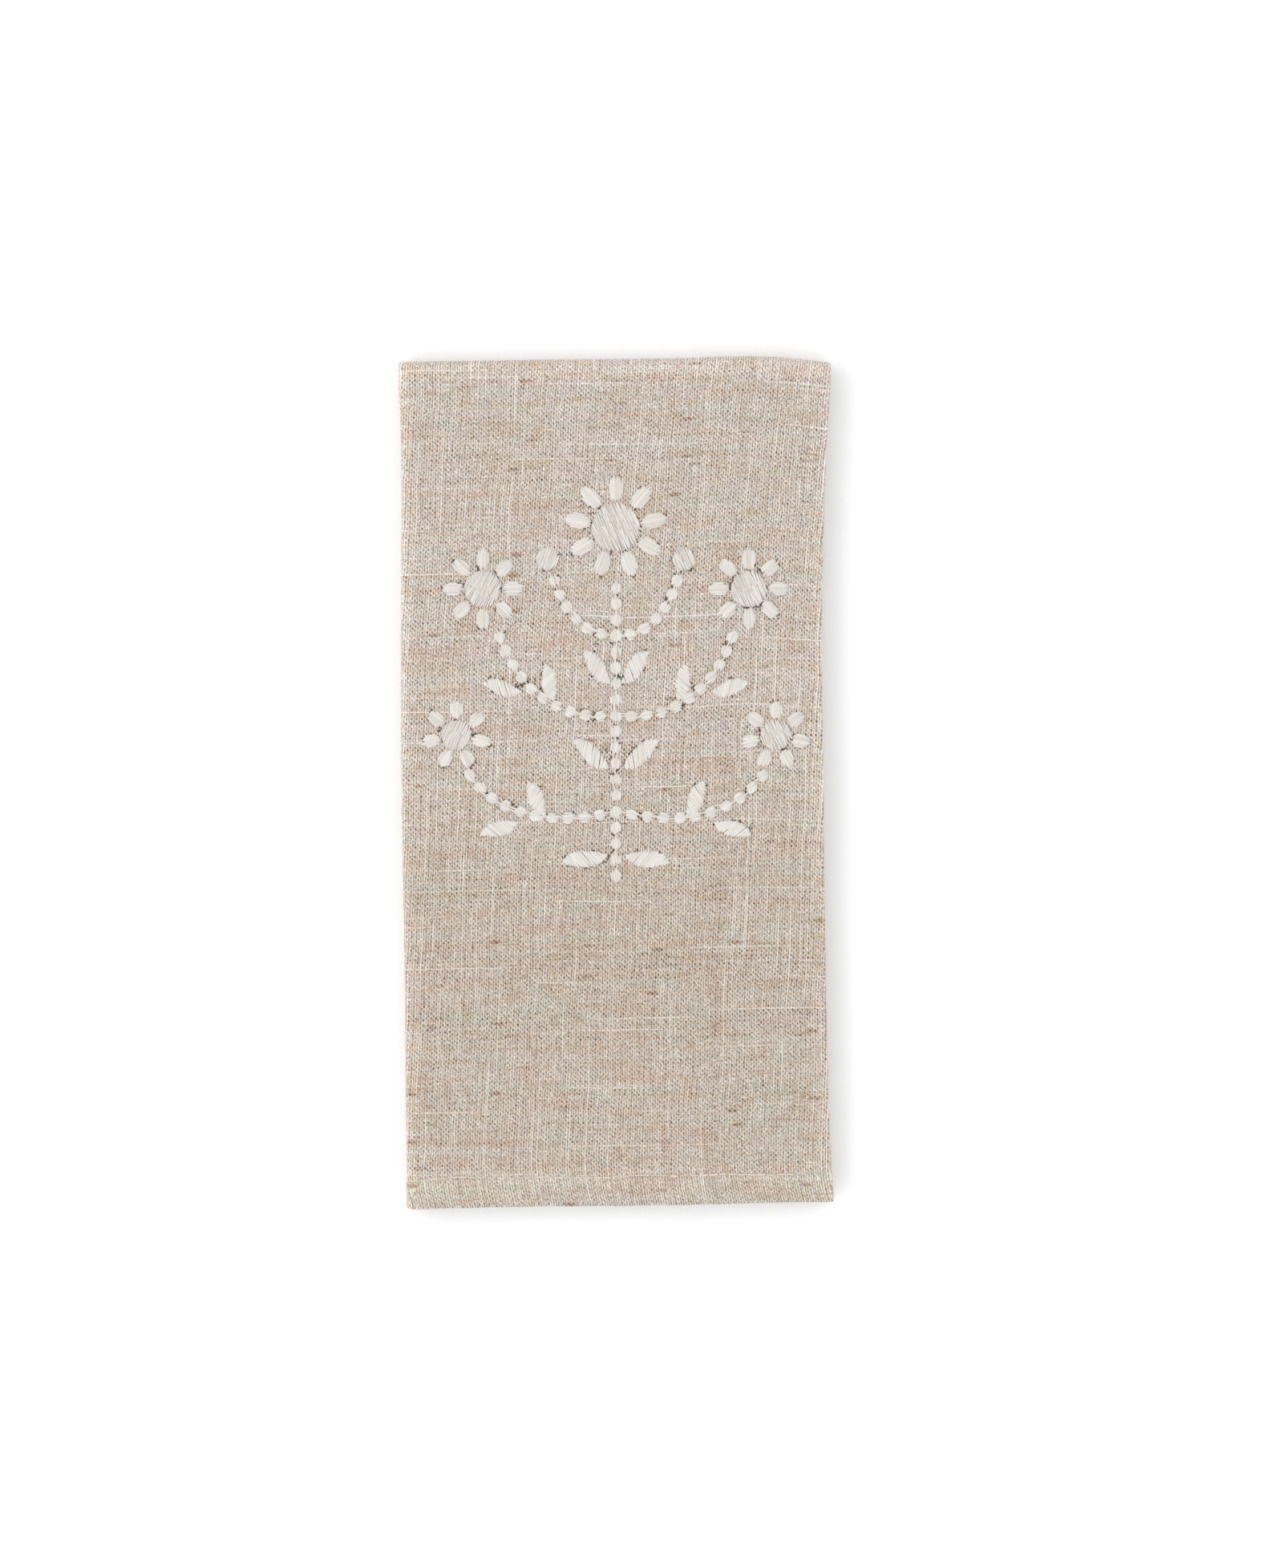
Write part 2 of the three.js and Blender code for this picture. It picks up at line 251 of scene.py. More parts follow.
# The uneven outline, soft rises and ripples. The lowest hem stays on the table at the flatter open end.
across = flat_x / panel_width + 0.5
along = neat_y / panel_length + 0.5
height_share = np.clip(neat_z / stack_height, 0, 1)
left = through(long_edges, "left", neat_y)
right = through(long_edges, "right", neat_y)
hem_line = through(short_edges, "hem", flat_x)
fold_line = through(short_edges, "fold", flat_x)
inset = lower_half_inset * (1 - smooth(height_share, 0, 1)) * (1 - 2 * across)
broad_ripple = ripple(broad_waves)
fine_ripple = ripple(fine_waves)
edge_ripple = ripple(edge_waves)
near_edge = np.exp(-np.minimum(across, 1 - across) * panel_width / fold_edge_reach)
near_hem = np.exp(-from_hem / hem_edge_reach)
x = left + (right - left) * across + inset
x += fold_edge_height * near_edge * edge_ripple(layers_apart * neat_z, neat_y)
y = hem_line + (fold_line - hem_line) * along
y += hem_edge_height * near_hem * edge_ripple(flat_x, layers_apart * neat_z)
lift = broad_height * broad_ripple(x, y) + fine_height * fine_ripple(x, y)
flattened = open_end_press * np.exp(-from_hem / open_end_reach)
z = neat_z * (1 - flattened + soft_rise(flat_x, neat_y) / stack_height) + lift * height_share**2
z += flattened * hem_thickness / 2

bpy.ops.object.select_all(action="DESELECT")
bpy.ops.mesh.primitive_grid_add(
    x_subdivisions=across_count - 1, y_subdivisions=along_count - 1, size=napkin_side
)
cloth = bpy.context.object
cloth.name = "linen_cloth"
cloth.data.vertices.foreach_set("co", np.column_stack([x, y, z]).ravel())

# Where each point lies on the flat cloth, in metres. The folds lie a little off the straight of the
# weave, and the hem was turned a little further off it.
weave_tilt = 0.05
hem_slant = 0.3
hem_pull = 14 * MM
pulled = np.clip(hem_pull - from_hem, 0, hem_pull)
weave_u = cloth_u + weave_tilt * cloth_v + hem_slant * pulled**2 / (2 * hem_pull)
corner_vertex = np.zeros(len(cloth.data.loops), np.int32)
cloth.data.loops.foreach_get("vertex_index", corner_vertex)
weave_place = np.column_stack([weave_u, cloth_v])[corner_vertex]
cloth.data.uv_layers[0].name = "weave"
cloth.data.uv_layers["weave"].data.foreach_set("uv", weave_place.ravel())


def store(mesh, name, values):
    """Keeps a value or a vector for each point of a mesh, under a name that its material reads."""
    kind, field = ("FLOAT", "value") if np.ndim(values) == 1 else ("FLOAT_VECTOR", "vector")
    attribute = mesh.attributes.new(name, kind, "POINT")
    attribute.data.foreach_set(field, np.ravel(values))


# The cloth is double where the hem is turned
turning_fade = (hem_depth - 0.6 * MM, hem_depth + 0.4 * MM)
store(cloth.data, "turned", 1 - smooth(to_hem, *turning_fade))

# Painted highlight where the folds catch the light: a line along each fold, lightest on the fold itself,
# and a band beside the cross fold that fades between the two places of its pair. A band along the hem
# stitching, fading between its two pairs of places, is made lighter too.
left_fold_highlight = 1.0
right_fold_highlight = 0.6
long_fold_reach = 1.7 * MM
cross_fold_highlight = 0.35
cross_fold_reach = 1.2 * MM
cross_band_highlight = 0.28
cross_band_end = (5 * MM, 8 * MM)
hem_band_lightening = 0.18
hem_band_start = (2 * MM, 5 * MM)
hem_band_end = (10 * MM, 14 * MM)
from_cross_fold = panel_length / 2 - neat_y
fold_highlight_and_hem_band = left_fold_highlight * np.exp(-across * panel_width / long_fold_reach)
fold_highlight_and_hem_band += right_fold_highlight * np.exp(-(1 - across) * panel_width / long_fold_reach)
fold_highlight_and_hem_band += cross_fold_highlight * np.exp(-from_cross_fold / cross_fold_reach)
fold_highlight_and_hem_band += cross_band_highlight * (1 - smooth(from_cross_fold, *cross_band_end))
fold_highlight_and_hem_band += hem_band_lightening * smooth(from_hem, *hem_band_start) * (1 - smooth(from_hem, *hem_band_end))
store(cloth.data, "fold_highlight_and_hem_band", np.clip(fold_highlight_and_hem_band, 0, 1))

# The way to the nearest open needle hole. A metre away means that there is none.
no_hole = [0.0, 0.0, 1.0]
store(cloth.data, "to_needle_hole", np.tile(no_hole, (len(cloth.data.vertices), 1)))

cloth_crease = math.radians(50)
thick_group = cloth.vertex_groups.new(name="turned_hem")
for index, weight in enumerate(hem_weight(to_hem)):
    if weight > 0:
        thick_group.add([index], float(weight), "REPLACE")
solidify = cloth.modifiers.new("thickness", "SOLIDIFY")
solidify.thickness = hem_thickness
solidify.offset = 0
solidify.vertex_group = "turned_hem"
solidify.thickness_vertex_group = cloth_thickness / hem_thickness
bpy.ops.object.modifier_apply(modifier="thickness")
bpy.ops.object.shade_smooth_by_angle(angle=cloth_crease)


def new_material(name):
    """A new material, its node tree and its shader."""
    material = bpy.data.materials.new(name)
    material.use_nodes = True
    return material, material.node_tree, material.node_tree.nodes["Principled BSDF"]


def link(value, socket):
    """Sets a socket to a plain value, or links it to another socket."""
    if isinstance(value, bpy.types.NodeSocket):
        socket.id_data.links.new(value, socket)
    else:
        socket.default_value = value


def add_node(kind, *values):
    """A new node, in the node tree that the first socket among the values belongs to."""
    sockets = [value for value in values if isinstance(value, bpy.types.NodeSocket)]
    return sockets[0].id_data.nodes.new(kind)


def maths(operation, *values):
    """One sum on plain values or sockets."""
    node = add_node("ShaderNodeMath", *values)
    node.operation = operation
    for value, socket in zip(values, node.inputs):
        link(value, socket)
    return node.outputs[0]


def times(*values):
    """The product of several values."""
    product = values[0]
    for value in values[1:]:
        product = maths("MULTIPLY", product, value)
    return product


def weighted(start, *terms):
    """A start value plus other values, each times its weight."""
    total = start
    for value, weight in terms:
        total = maths("MULTIPLY_ADD", value, weight, total)
    return total


def vector_of(*values):
    """A place from its three parts."""
    node = add_node("ShaderNodeCombineXYZ", *values)
    for value, socket in zip(values, node.inputs):
        link(value, socket)
    return node.outputs[0]


def parts_of(color):
    """The three parts of a colour."""
    node = add_node("ShaderNodeSeparateColor", color)
    link(color, node.inputs[0])
    return node.outputs


def stored(tree, name, output="Fac"):
    """What store kept for each point of the mesh."""
    node = tree.nodes.new("ShaderNodeAttribute")
    node.attribute_name = name
    return node.outputs[output]


def noise(place, scale=1.0, detail=0.0, output="Fac", roughness=0.5):
    """Smooth noise between 0 and 1, one value or three."""
    node = add_node("ShaderNodeTexNoise", place)
    node.inputs["Scale"].default_value = scale
    node.inputs["Detail"].default_value = detail
    node.inputs["Roughness"].default_value = roughness
    link(place, node.inputs["Vector"])
    return node.outputs[output]


def stretched(u, v, scale_u, scale_v, depth=0.0):
    """A place for noise that is drawn out along the yarns. The depth picks a slice of the noise."""
    return vector_of(times(u, scale_u), times(v, scale_v), depth)


def ramp(value, low, high):
    """0 at low, 1 at high, smooth between. Low may be the larger."""
    node = add_node("ShaderNodeMapRange", value)
    node.interpolation_type = "SMOOTHSTEP"
    for name, entry in (("Value", value), ("From Min", low), ("From Max", high)):
        link(entry, node.inputs[name])
    return node.outputs["Result"]


def blend(share, first, second, way="MIX"):
    """Mixes two colours, or multiplies the first by the second."""
    node = add_node("ShaderNodeMix", share)
    node.data_type = "RGBA"
    node.blend_type = way
    link(share, node.inputs[0])
    link(first, node.inputs[6])
    link(second, node.inputs[7])
    return node.outputs[2]


def bumped(height, distance):
    """Normals of a surface that stands up by the given distance where the height is 1."""
    node = add_node("ShaderNodeBump", height)
    node.inputs["Strength"].default_value = 0.5
    node.inputs["Distance"].default_value = distance
    link(height, node.inputs["Height"])
    return node.outputs["Normal"]


def yarn_group():
    """Side-by-side yarns that go thick and thin. It puts out which yarn a place is on, how far it is from
    the yarn's path in yarn pitches, how round the yarn is there, how bright a slub or how brown a straw
    runs along it, and the yarn's own tone."""
    lane_step = 7.31
    uneven_scale = 300.0
    least_thickness = 0.3
    own_thickness = 0.3
    uneven_thickness = 1.1
    own_offset = 0.14
    swerve_offset = 0.45
    slub_depth = 5.0
    slub_fade = 0.14
    slub_yarns = (0.4, 1.0)
    slub_line = (0.75, 0.25)
    straw_depth = 9.0
    straw_scale = 75.0
    straw_start = (0.61, 0.72)
    straw_line = (1.1, 0.4)
    least_tone = -0.3
    own_tone = 0.4
    uneven_tone = 1.2
    tree = bpy.data.node_groups.new("slub_yarn", "ShaderNodeTree")
    for name in ("Across", "Along", "Half Width", "Slub Scale", "Slub Start", "Seed", "Lean"):
        tree.interface.new_socket(name, in_out="INPUT", socket_type="NodeSocketFloat")
    for name in ("Number", "Place", "Round", "Slub", "Straw", "Tone"):
        tree.interface.new_socket(name, in_out="OUTPUT", socket_type="NodeSocketFloat")
    given = tree.nodes.new("NodeGroupInput").outputs
    put_out = tree.nodes.new("NodeGroupOutput").inputs
    number = maths("FLOOR", given["Across"])
    place = maths("SUBTRACT", maths("FRACT", given["Across"]), 0.5)
    own = add_node("ShaderNodeTexWhiteNoise", number)
    own.noise_dimensions = "1D"
    link(maths("ADD", number, given["Seed"]), own.inputs["W"])
    own_number, weight, aside = parts_of(own.outputs["Color"])

    # Thick and thin places, small sideways swerves and lighter and darker lengths along each yarn
    lane = weighted(given["Seed"], (number, lane_step))
    uneven_place = vector_of(lane, times(given["Along"], uneven_scale), 0.0)
    fat, swerve, dull = parts_of(noise(uneven_place, detail=1.0, output="Color"))
    half = weighted(least_thickness, (own_number, own_thickness), (fat, uneven_thickness))
    half = times(half, given["Half Width"])
    own_aside = maths("SUBTRACT", aside, 0.5)
    swerve_aside = maths("SUBTRACT", swerve, 0.5)
    place = weighted(place, (own_aside, own_offset), (swerve_aside, swerve_offset))
    place = maths("ADD", place, given["Lean"])
    off = maths("ABSOLUTE", maths("DIVIDE", place, half))
    round_share = maths("SUBTRACT", 1.0, times(off, off))
    round_share = maths("SQRT", maths("MAXIMUM", round_share, 0.0))

    # A slub is a bright line along the middle of its yarn, and a straw is a shorter brown one
    slub_place = vector_of(lane, times(given["Along"], given["Slub Scale"]), slub_depth)
    slub_end = maths("ADD", given["Slub Start"], slub_fade)
    slub_share = ramp(noise(slub_place, detail=1.0), given["Slub Start"], slub_end)
    slub_share = times(slub_share, ramp(weight, *slub_yarns), ramp(off, *slub_line))
    straw_place = vector_of(lane, times(given["Along"], straw_scale), straw_depth)
    straw_share = ramp(noise(straw_place, detail=1.0), *straw_start)
    straw_share = times(straw_share, ramp(off, *straw_line))
    tone = weighted(least_tone, (own_number, own_tone), (dull, uneven_tone))
    for value, socket in zip((number, place, round_share, slub_share, straw_share, tone), put_out):
        link(value, socket)
    return tree


def yarns(group, across, along, yarn, lean):
    """One set of yarns over the cloth, from its row of values."""
    node = add_node("ShaderNodeGroup", across)
    node.node_tree = group
    for value, socket in zip((across, along, *yarn.values(), lean), node.inputs):
        link(value, socket)
    return node.outputs


def warp_and_weft(cloth_place, u, v):
    """Both sets of yarns. They wander from the straight, and their twist makes each crossing lean."""
    warp_pitch = 0.735 * MM
    weft_pitch = 0.69 * MM
    warp_yarn = {"half_width": 0.46, "slub_scale": 30.0, "slub_start": 0.5, "seed": 3.7}
    weft_yarn = {"half_width": 0.4, "slub_scale": 17.0, "slub_start": 0.54, "seed": 51.3}
    wander_scale = 40
    wander_pitches = 2.2
    twist_lean = 0.28
    warp_wander, weft_wander, _ = parts_of(noise(cloth_place, wander_scale, detail=1.0, output="Color"))
    warp_across = weighted(0.0, (u, 1 / warp_pitch), (warp_wander, wander_pitches))
    weft_across = weighted(0.0, (v, 1 / weft_pitch), (weft_wander, wander_pitches))
    lean = weighted(twist_lean / 2, (maths("FRACT", weft_across), -twist_lean))
    group = yarn_group()
    warp = yarns(group, warp_across, v, warp_yarn, lean)
    weft = yarns(group, weft_across, u, weft_yarn, 0.0)
    return warp, weft


def hole_masks(cloth_place, to_hole):
    """How far the yarns are pushed apart round an open needle hole, and the ragged hole itself."""
    ragged_scale = 2500
    ragged_reach = 0.5 * MM
    pushed_reach = (1.7 * MM, 0.5 * MM)
    hole_reach = (0.82 * MM, 0.48 * MM)
    distance = add_node("ShaderNodeVectorMath", to_hole)
    distance.operation = "LENGTH"
    link(to_hole, distance.inputs[0])
    ragged = times(noise(cloth_place, ragged_scale), ragged_reach)
    from_hole = maths("ADD", distance.outputs["Value"], ragged)
    return ramp(from_hole, *pushed_reach), ramp(from_hole, *hole_reach)


def fleck_mask(u, v):
    """Dark flecks, which are short lengths of brown weft."""
    fleck_scale = (42.0, 150.0)
    fleck_edge = (0.107, 0.045)
    fleck_choice = (0.5, 0.95)
    cells = add_node("ShaderNodeTexVoronoi", u)
    cells.voronoi_dimensions = "2D"
    cells.inputs["Scale"].default_value = 1
    link(stretched(u, v, *fleck_scale), cells.inputs["Vector"])
    chosen, _, _ = parts_of(cells.outputs["Color"])
    fleck = ramp(cells.outputs["Distance"], *fleck_edge)
    return times(fleck, ramp(chosen, *fleck_choice))


def weave_dips(warp, weft, fleck, pushed_apart, fold_highlight_and_hem_band):
    """Over one, under one. The thick warp hides the weft, and between two warp yarns every other weft yarn
    dips into a small hollow, which is painted dark as shade. It is wider beside a needle hole and along a
    dark yarn, and less deep where the folds and the hem band are painted lighter. Returns the hollows, the
    dark yarns and each crossing's own number."""
    dark_tone = (0.55, 0.95)
    dip_width = 0.34
    dip_length = 0.55
    dip_edge = (1.4, 0.1)
    stray_reach = 0.4
    dark_widens = 0.2
    hole_widens = 0.4
    fleck_widens = 0.2
    fleck_sinks = 0.6
    sunk_range = (-0.95, 1.65)
    highlight_fills = 0.5
    beside = maths("ADD", warp["Number"], maths("GREATER_THAN", warp["Place"], 0.0))
    crossing = add_node("ShaderNodeTexWhiteNoise", beside)
    crossing.noise_dimensions = "2D"
    link(vector_of(beside, weft["Number"], 0.0), crossing.inputs["Vector"])
    sunk, own_number, stray = parts_of(crossing.outputs["Color"])
    every_other = maths("MODULO", maths("ADD", beside, weft["Number"]), 2.0)
    dark_weft = maths("MAXIMUM", ramp(weft["Tone"], *dark_tone), fleck)
    widened = weighted(1.0, (dark_weft, dark_widens), (pushed_apart, hole_widens), (fleck, fleck_widens))
    dip_x = maths("SUBTRACT", 0.5, maths("ABSOLUTE", warp["Place"]))
    dip_x = maths("DIVIDE", dip_x, times(widened, dip_width))
    dip_y = maths("SUBTRACT", weft["Place"], stray_reach / 2)
    dip_y = weighted(dip_y, (stray, stray_reach))
    dip_y = maths("DIVIDE", dip_y, times(widened, dip_length))
    far = weighted(0.0, (dip_y, dip_y), (dip_x, dip_x))
    opened = weighted(maths("MAXIMUM", dark_weft, pushed_apart), (fleck, fleck_sinks))
    depth = ramp(maths("ADD", sunk, opened), *sunk_range)
    unfilled = weighted(1.0, (fold_highlight_and_hem_band, -highlight_fills))
    dip = times(ramp(far, *dip_edge), every_other, depth, unfilled)
    return dip, dark_weft, own_number


def warm_patches(u, v, own_number):
    """Patches of warmer yarns, drawn out along both sets, and a slow change of hue."""
    weft_scale = (46.0, 330.0)
    warp_scale = (150.0, 60.0)
    warp_depth = 3.0
    weft_share = 0.7
    warp_share = 0.3
    crossing_share = 0.12
    warm_range = (0.49, 0.71)
    weft_place = stretched(u, v, *weft_scale)
    warp_place = stretched(u, v, *warp_scale, warp_depth)
    weft_noise = noise(weft_place, detail=3.0, output="Color", roughness=0.6)
    weft_warmth, hue, _ = parts_of(weft_noise)
    warp_warmth = noise(warp_place, detail=2.0)
    warmth = weighted(0.0, (warp_warmth, warp_share), (weft_warmth, weft_share))
    warmth = weighted(warmth, (own_number, crossing_share))
    return ramp(warmth, *warm_range), hue


def yarn_color(u, v, warp, weft, warmth, painted_hollows):
    """Cream yarns with finer and duller fibres, warm in patches, with painted shade at their sides and in
    the hollows. The hollows come as their depth and their painted shade."""
    cream = (0.718, 0.647, 0.573, 1)
    dull_cream = (0.20, 0.164, 0.136, 1)
    warm_tint = (0.97, 0.905, 0.825, 1)
    weft_tint = (0.93, 0.915, 0.90, 1)
    side_shade_tint = (0.56, 0.53, 0.5, 1)
    warm_side_shade_tint = (0.54, 0.44, 0.35, 1)
    fibre_scale = (3300.0, 1400.0)
    fibre_range = (0.3, 0.7)
    fibre_dullness = 0.56
    yarn_dullness = 0.34
    yarn_side_shade = (0.8, 0.0)
    fibres = ramp(noise(stretched(u, v, *fibre_scale), detail=1.0), *fibre_range)
    dullness = weighted(0.0, (warp["Tone"], yarn_dullness), (fibres, fibre_dullness))
    color = blend(dullness, cream, dull_cream)
    color = blend(warmth, color, warm_tint, "MULTIPLY")
    color = blend(weft["Tone"], color, weft_tint, "MULTIPLY")
    # Painted shade at the sides of each warp yarn, between the yarns, browner in warm patches
    side = blend(warmth, side_shade_tint, warm_side_shade_tint)
    color = blend(ramp(warp["Round"], *yarn_side_shade), color, side, "MULTIPLY")
    dip, pit_shade = painted_hollows
    return blend(dip, color, pit_shade)


def linen_material():
    """Plain weave of both sets of yarns. Brown straws and white slubs run along the yarns, and painted
    light makes the cloth a little lighter towards the cross fold."""
    hollow_shade = (0.093, 0.076, 0.064, 1)
    brown_hollow_shade = (0.092, 0.049, 0.025, 1)
    lined_hollow_shade = (0.19, 0.155, 0.12, 1)
    straw = (0.30, 0.2, 0.13, 1)
    white_slub = (0.69, 0.645, 0.585, 1)
    brown_fleck = (0.19, 0.088, 0.035, 1)
    hole_shade = (0.045, 0.028, 0.018, 1)
    painted_light_tint = (1.072, 1.088, 1.122, 1)
    highlight_and_hem_band_tint = (1.3, 1.3, 1.3, 1)
    hem_tint = (0.985, 1.005, 1.01, 1)
    green_tint = (0.945, 1, 0.965, 1)
    pink_tint = (1, 0.925, 0.935, 1)
    warp_straw_share = 0.35
    weft_straw_share = 0.55
    slub_share = 0.58
    fleck_share = 0.42
    hole_shade_share = 0.9
    painted_light_from_hem = (90 * MM, 135 * MM)
    green_hue = (0.5, 0.75)
    pink_hue = (0.5, 0.25)
    yarn_height = 0.5
    slub_height = 0.4
    dip_height = -0.9
    hole_height = -1.5
    relief = 0.2 * MM
    material, tree, shader = new_material("slub_linen")
    uv = tree.nodes.new("ShaderNodeUVMap")
    uv.uv_map = "weave"
    cloth_place = uv.outputs["UV"]
    axes = add_node("ShaderNodeSeparateXYZ", cloth_place)
    link(cloth_place, axes.inputs[0])
    u, v, _ = axes.outputs
    turned = stored(tree, "turned")
    fold_highlight_and_hem_band = stored(tree, "fold_highlight_and_hem_band")
    to_hole = stored(tree, "to_needle_hole", "Vector")
    pushed_apart, needle_hole = hole_masks(cloth_place, to_hole)
    warp, weft = warp_and_weft(cloth_place, u, v)
    fleck = fleck_mask(u, v)
    dip, dark_weft, own_number = weave_dips(warp, weft, fleck, pushed_apart, fold_highlight_and_hem_band)
    warmth, hue = warm_patches(u, v, own_number)

    # Painted shade in the hollows, browner in warm patches and along dark weft, where the weft itself is
    # brown. Under the turned hem a second layer of cloth shows in the hollows, so the painted shade there
    # is lighter.
    pit_shade = blend(maths("MAXIMUM", warmth, dark_weft), hollow_shade, brown_hollow_shade)
    pit_shade = blend(turned, pit_shade, lined_hollow_shade)
    color = yarn_color(u, v, warp, weft, warmth, (dip, pit_shade))
    warp_straw = times(warp["Straw"], warp_straw_share)
    weft_straw = times(weft["Straw"], weft_straw_share)
    color = blend(maths("MAXIMUM", warp_straw, weft_straw), color, straw)
    slub = maths("MAXIMUM", warp["Slub"], weft["Slub"])
    color = blend(times(slub, slub_share), color, white_slub)

    # Painted light towards the cross fold, painted highlight along the folds and a lighter hem band,
    # greener and pinker places, then the flecks and painted shade in the open needle holes
    color = blend(ramp(v, *painted_light_from_hem), color, painted_light_tint, "MULTIPLY")
    # Painted highlight along the folds, and a lighter band along the hem stitching
    color = blend(fold_highlight_and_hem_band, color, highlight_and_hem_band_tint, "MULTIPLY")
    color = blend(turned, color, hem_tint, "MULTIPLY")
    color = blend(ramp(hue, *green_hue), color, green_tint, "MULTIPLY")
    color = blend(ramp(hue, *pink_hue), color, pink_tint, "MULTIPLY")
    color = blend(times(fleck, fleck_share), color, brown_fleck)
    # Painted shade in the open needle holes, where the yarns are pushed apart
    color = blend(times(needle_hole, hole_shade_share), color, hole_shade)
    link(color, shader.inputs["Base Color"])

    height = weighted(0.0, (warp["Round"], yarn_height), (dip, dip_height), (slub, slub_height))
    height = weighted(height, (needle_hole, hole_height))
    link(bumped(height, relief), shader.inputs["Normal"])
    shader.inputs["Roughness"].default_value = 0.88
    shader.inputs["Specular IOR Level"].default_value = 0.2
    shader.inputs["Sheen Weight"].default_value = 0.1
    shader.inputs["Sheen Roughness"].default_value = 0.5
    return material


cloth.data.materials.append(linen_material())
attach(cloth, "root")
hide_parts("folded_napkin")


# Hem stitches
# One row of ivory lockstitch holds the turned hem down, a hem's depth in from the edge. It is worked by
# machine through the cloth, so it shows on both outer panels and draws the linen in at each needle hole.
hem_stitch_pitch = 2.9 * MM
hem_stitch_length = 2.65 * MM
hem_length_spread = 0.15 * MM
hem_hole_spread = 0.06 * MM
hem_thread_width = 0.48 * MM
hem_thread_thickness = 0.6 * hem_thread_width
hem_thread_rise = -0.02 * MM
hem_thread_dullness = (0.15, 0.65)
row_starts = -panel_width / 2 + 1.5 * MM
row_ends = panel_width / 2 - 3 * MM
row_wander = 0.4 * MM
short_wander = 6 * MM
long_wander = 17 * MM
upper_hem_pull = {"depth": 0.08 * MM, "reach": 1.1 * MM}
lower_hem_pull = {"depth": 0.38 * MM, "reach": 1.2 * MM}
upper_panel_z = stack_height - layer_pitch
lower_panel_z = 0.8 * layer_pitch

# A stitch from end to end: share of its length, height against its full rise, and width against its
# thread's. The height of the cloth is found at three of these places.
thread_sides = 6
stitch_share = np.array([0, 0.07, 0.2, 0.4, 0.6, 0.8, 0.93, 1])
stitch_arch = np.array([-0.5, 0.35, 0.8, 1, 1, 0.8, 0.35, -0.5])
stitch_slim = np.array([0.55, 0.85, 1, 1, 1, 1, 0.85, 0.55])
found_at = [0, 3, 7]
thread_bow = 0.04 * MM
thread_crease = math.radians(65)


def holes_of(stitches):
    """The two needle holes of every stitch."""
    return [end for stitch in stitches for end in (stitch[0:2], stitch[2:4])]


def draw_in(holes, depth, reach, from_above=True):
    """Pulls an outer panel in round each needle hole."""
    mesh = cloth.data
    place = np.zeros(len(mesh.vertices) * 3)
    mesh.vertices.foreach_get("co", place)
    place = place.reshape(-1, 3)
    in_panel = place[:, 2] > upper_panel_z if from_above else place[:, 2] < lower_panel_z
    panel = np.flatnonzero(in_panel)
    tree = KDTree(len(panel))
    for index in panel:
        tree.insert((place[index, 0], place[index, 1], 0), int(index))
    tree.balance()
    pull = np.zeros(len(place))
    for hole_x, hole_y in holes:
        for _, index, far in tree.find_range((hole_x, hole_y, 0), 2 * reach):
            pull[index] = max(pull[index], math.exp(-((far / reach) ** 2)))
    inwards = -1 if from_above else 1
    place[:, 2] += inwards * depth * pull
    mesh.vertices.foreach_set("co", place.ravel())
    mesh.update()


def cloth_levels(tree, places, facing):
    """How high the cloth is at each place, found by looking at it from above or from below."""
    clear_of_cloth = 50 * MM
    levels = []
    for x, y in places:
        hit = tree.ray_cast(Vector((x, y, facing * clear_of_cloth)), Vector((0, 0, -facing)))[0]
        levels.append(hit.z)
    return levels


def stitched_mesh(name, stitches, from_above=True):
    """One mesh of many stitches. Each stitch is a row: its two needle holes, the thread's width and
    thickness, how far the middle stands off the cloth, and how dull the thread is. The thread dives into
    the cloth at both ends."""
    turns = 2 * np.pi * np.arange(thread_sides) / thread_sides
    rings = len(stitch_share)
    facing = 1 if from_above else -1
    tree = BVHTree.FromObject(cloth, bpy.context.evaluated_depsgraph_get())
    points = []
    places = []
    tones = []
    faces = []
    for start_x, start_y, end_x, end_y, width, thickness, rise, dullness in stitches:
        run = np.array([end_x - start_x, end_y - start_y])
        length = np.hypot(*run)
        forward = run / length
        sideways = np.array([-forward[1], forward[0]])
        bow = rng.normal(0, thread_bow) * np.sin(np.pi * stitch_share)
        middle = np.array([start_x, start_y]) + np.outer(stitch_share, run) + np.outer(bow, sideways)
        found = cloth_levels(tree, middle[found_at], facing)
        surface = np.interp(stitch_share, stitch_share[found_at], found)
        level = surface + facing * stitch_arch * (rise + thickness / 2)
        base = len(points) * thread_sides
        own_place = rng.uniform(0, 1)
        for ring in range(rings):
            side = np.cos(turns) * width / 2 * stitch_slim[ring]
            up = np.sin(turns) * thickness / 2 * stitch_slim[ring]
            ring_x = middle[ring, 0] + side * sideways[0]
            ring_y = middle[ring, 1] + side * sideways[1]
            points.append(np.column_stack([ring_x, ring_y, level[ring] + up]))
            along_thread = np.full(thread_sides, own_place + stitch_share[ring] * length)
            places.append(np.column_stack([along_thread, side, up]))
            tones.append(np.full(thread_sides, dullness))
        for ring in range(rings - 1):
            for corner in range(thread_sides):
                here = base + ring * thread_sides + corner
                beside = base + ring * thread_sides + (corner + 1) % thread_sides
                faces.append((here, beside, beside + thread_sides, here + thread_sides))
        faces.append(tuple(base + corner for corner in reversed(range(thread_sides))))
        last = base + (rings - 1) * thread_sides
        faces.append(tuple(last + corner for corner in range(thread_sides)))
    mesh = bpy.data.meshes.new(name)
    mesh.from_pydata(np.concatenate(points).tolist(), [], faces)
    store(mesh, "thread_place", np.concatenate(places))
    store(mesh, "thread_tone", np.concatenate(tones))
    piece = bpy.data.objects.new(name, mesh)
    bpy.context.scene.collection.objects.link(piece)
    bpy.ops.object.select_all(action="DESELECT")
    piece.select_set(True)
    bpy.context.view_layer.objects.active = piece
    bpy.ops.object.mode_set(mode="EDIT")
    bpy.ops.mesh.select_all(action="SELECT")
    bpy.ops.mesh.normals_make_consistent(inside=False)
    bpy.ops.object.mode_set(mode="OBJECT")
    bpy.ops.object.shade_smooth_by_angle(angle=thread_crease)
    return piece


